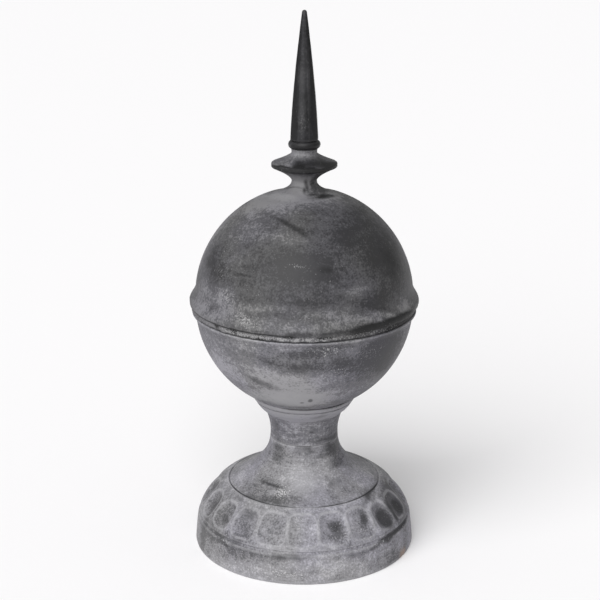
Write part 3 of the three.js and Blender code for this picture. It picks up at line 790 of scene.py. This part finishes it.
def shapeDome():
    radius, centre, flareTop = dome["radius"], dome["centre"], dome["flareTop"]
    flareRadius = math.sqrt(radius ** 2 - (flareTop - centre) ** 2)
    rimFoot, rimNose, rimTop = dome["rimFoot"], dome["rimNose"], dome["rimTop"]
    recess, throat, studTop = dome["recess"], dome["throat"], dome["studTop"]
    discEdge = (dome["disc"], dome["discTop"])
    outline = [(ring, dome["foot"]) for ring in (0, 60, 110, recess)]
    outline += [(recess, height) for height in (275, 276.4, 277.8)]
    outline += bowedLine((recess, dome["recessTop"]), rimFoot, dome["recessBow"], 4)
    outline += bowedLine(rimFoot, rimNose, dome["rimBow"], 5)[1:]
    outline += bowedLine(rimNose, rimTop, dome["rimBow"], 5)[1:]
    outline += sweepLine((flareRadius, flareTop), rimTop, dome["rimPower"], 12)[::-1][1:]
    outline += ballLine(radius, centre, flareTop, dome["crown"][1], 62)[1:]
    outline += sweepLine(throat, dome["crown"], dome["throatPower"], 16)[::-1][1:]
    outline += sweepLine(throat, (dome["disc"], dome["discFoot"]), dome["underPower"], 12)[1:]
    outline += [discEdge]
    outline += sweepLine((throat[0], dome["stud"]), discEdge, dome["topPower"], 11)[::-1][1:]
    outline += bowedLine((throat[0], dome["stud"]), (dome["studRadius"], studTop), dome["studBow"], 4)[1:]
    outline += [(6, studTop), (0, studTop)]
    bm = turned(outline, dome)
    for v, radial, height in offAxis(bm):
        if dome["crustFoot"] < height < dome["crustTop"]:
            push = crustDepth(v.co, height)
        elif dome["crustTop"] <= height < dome["rimEnd"]:
            push = uneven(v.co, dome["rimLumps"], dome["rimSetIn"])
        else:
            push = uneven(v.co, dome["lumps"], dome["setIn"])
        v.co += radial * push * mm
    return bm


domeFinish = weathered("weatheredDome", {
    "dark": grey(0.034, 0.03), "middle": grey(0.08, 0.03), "light": grey(0.19, 0.01),
    "cloudScale": 14, "clouds": 0.6, "streakScale": 17, "streaks": 0.8, "mottle": 0.7, "grain": 0.9,
    "paleAndLightColour": grey(0.28, 0.02), "paleAndLightAmount": 0.6,
    "stainAndShadeColour": grey(0.01, 0.03), "stainAndShadeAmount": 0.93,
    "grimeColour": grey(0.02, 0.03), "grimeAmount": 0.85,
    "wornColour": grey(0.17, 0.02), "wornAmount": 0.35,
    "speckColour": grey(0.4), "speckAmount": 0.6, "specks": 0.35,
    "skinScale": 700, "pits": 0.5, "bump": 0.4, "rough": 0.44, "roughSpread": 0.2,
    "metallic": 0.1, "specular": 0.2,
})
domePiece = finishPiece("upper_dome_casting", shapeDome(), domeFinish, "upper_dome")
weatherPiece(domePiece, dome)
print("upper dome made")


# ring and eight-sided spike

spike = {
    "sectors": 8, "steps": 16, "soften": 0.3,
    "ringFoot": 451.4, "ringTop": 459.4, "ringRadius": 14.3, "ringReach": 3, "seat": 8,
    "radius": 16, "foot": 455.4, "top": 596.1, "tip": 3, "power": 1.42,
    "sides": 8, "turn": -3, "squareness": 0.82,
    "lumps": [(0.12, 14, 10), (0.06, 5, 11)], "setIn": 0.1, "evenAbove": 594.5,
    "blooms": [(-8, 482, 5, 24, 0, 0.45)],
    # pale streaks down the spike's front: painted highlights
    "palesAndLight": [(-10, 500, 4, 50, 0, 0.6), (24, 520, 2, 34, 0, 0.4)],
    # darker marks on the spike's sides: painted shade
    "tonesAndLight": [(60, 480, 14, 30, 0, -0.3), (-60, 480, 10, 30, 0, -0.15)],
    # a dark ring where the spike meets the ring: dirt and painted shade
    "dirtAndShadeRings": [(17.3, 454.6, 4, 0.9, 20, 75)],
    # painted light and shade on the spike's flat faces: the faces to either side darker, the front faces lighter;
    # the first ring lightens the ring's left, lit side
    "toneAndLightRings": [(17, 457, 3, 0.4, -60, 30), (11, 520, 80, -0.42, 78, 40), (11, 520, 90, -0.32, -80, 34),
        (11, 515, 70, 0.3, -14, 12), (11, 500, 60, 0.12, 24, 10)],
}


def shapeSpike():
    ringFoot, ringTop = spike["ringFoot"], spike["ringTop"]
    ringMiddle = (spike["ringRadius"], (ringFoot + ringTop) / 2)
    tip, tipFoot = spike["tip"], spike["top"] - spike["tip"]
    outline = [(0, ringFoot), (spike["seat"], ringFoot)]
    outline += roundLine(ringMiddle, spike["ringReach"], (ringTop - ringFoot) / 2, -90, 90, 12)
    taper = sweepLine((spike["radius"], spike["foot"]), (tip, tipFoot), spike["power"], 76)
    outline += [point for point in taper if point[1] > ringTop + 0.3]
    outline += roundLine((0, tipFoot), tip, tip, 0, 90, 8)[1:-1]
    outline += [(0, spike["top"])]
    bm = turned(outline, spike)
    side = math.tau / spike["sides"]
    for v, radial, height in offAxis(bm):
        if height >= ringTop + 0.1:
            # drawn in from the round towards flat sides
            turn = math.radians(frontAngle(v.co) - spike["turn"])
            off = (turn + side / 2) % side - side / 2
            flat = math.cos(side / 2) / math.cos(off)
            keep = 1 - spike["squareness"] * (1 - flat)
            v.co.x *= keep
            v.co.y *= keep
        if height <= spike["evenAbove"]:
            v.co += radial * uneven(v.co, spike["lumps"], spike["setIn"]) * mm
    return bm


spikeFinish = weathered("darkSpike", {
    "dark": grey(0.006, 0.09), "middle": grey(0.0175, 0.09), "light": grey(0.042, 0.06),
    "cloudScale": 60, "clouds": 0.7, "streakScale": 60, "streaks": 0.4, "mottle": 0.7, "grain": 0.9,
    "paleAndLightColour": grey(0.05, 0.03), "paleAndLightAmount": 0.6,
    "stainAndShadeColour": grey(0.008, 0.03), "stainAndShadeAmount": 0.7,
    "grimeColour": grey(0.007, 0.03), "grimeAmount": 0.8,
    "wornColour": grey(0.045, 0.02), "wornAmount": 0.4,
    "speckColour": grey(0.13), "speckAmount": 0.6, "specks": 0.4,
    "skinScale": 800, "pits": 0.4, "bump": 0.4, "rough": 0.36, "roughSpread": 0.2,
    "metallic": 0.15, "specular": 0.25,
})
spikePiece = finishPiece("spike_casting", shapeSpike(), spikeFinish, "spike")
weatherPiece(spikePiece, spike)
print("spike made")


# pale floor and soft studio light; the floor's half width is in metres

studio = {
    "floor": 30, "floorGrey": 0.95, "floorRough": 0.9, "floorShine": 0.1, "sky": 0.36, "backdrop": 0.95,
    "keyStrength": 3.3, "keyAngle": 60, "keyTilt": 50, "keyTurn": -26,
}

bm = bmesh.new()
bmesh.ops.create_grid(bm, x_segments=2, y_segments=2, size=studio["floor"])
floorMesh = bpy.data.meshes.new("studio_floor")
bm.to_mesh(floorMesh)
bm.free()
floorPaint = bpy.data.materials.new("paleFloor")
floorPaint.use_nodes = True
floorInputs = floorPaint.node_tree.nodes["Principled BSDF"].inputs
floorInputs["Base Color"].default_value = grey(studio["floorGrey"])
floorInputs["Roughness"].default_value = studio["floorRough"]
floorInputs["Specular IOR Level"].default_value = studio["floorShine"]
floorMesh.materials.append(floorPaint)
floor = bpy.data.objects.new("studio_floor", floorMesh)
bpy.context.scene.collection.objects.link(floor)

# the backdrop looks paler to the camera than the light it gives
world = bpy.data.worlds.new("softTent")
world.use_nodes = True
tent = world.node_tree
seen = addNode(tent, "ShaderNodeLightPath").outputs["Is Camera Ray"]
strength = addNode(tent, "ShaderNodeMapRange", {"Value": seen, "To Min": studio["sky"],
                                                "To Max": studio["backdrop"]}).outputs["Result"]
tent.nodes["Background"].inputs["Color"].default_value = (1, 1, 1, 1)
tent.links.new(strength, tent.nodes["Background"].inputs["Strength"])
bpy.context.scene.world = world

keyData = bpy.data.lights.new("softKey", "SUN")
keyData.energy = studio["keyStrength"]
keyData.angle = math.radians(studio["keyAngle"])
key = bpy.data.objects.new("softKey", keyData)
key.rotation_euler = (math.radians(studio["keyTilt"]), 0, math.radians(studio["keyTurn"]))
bpy.context.scene.collection.objects.link(key)
bpy.context.scene.view_settings.view_transform = "Standard"
print("studio set")
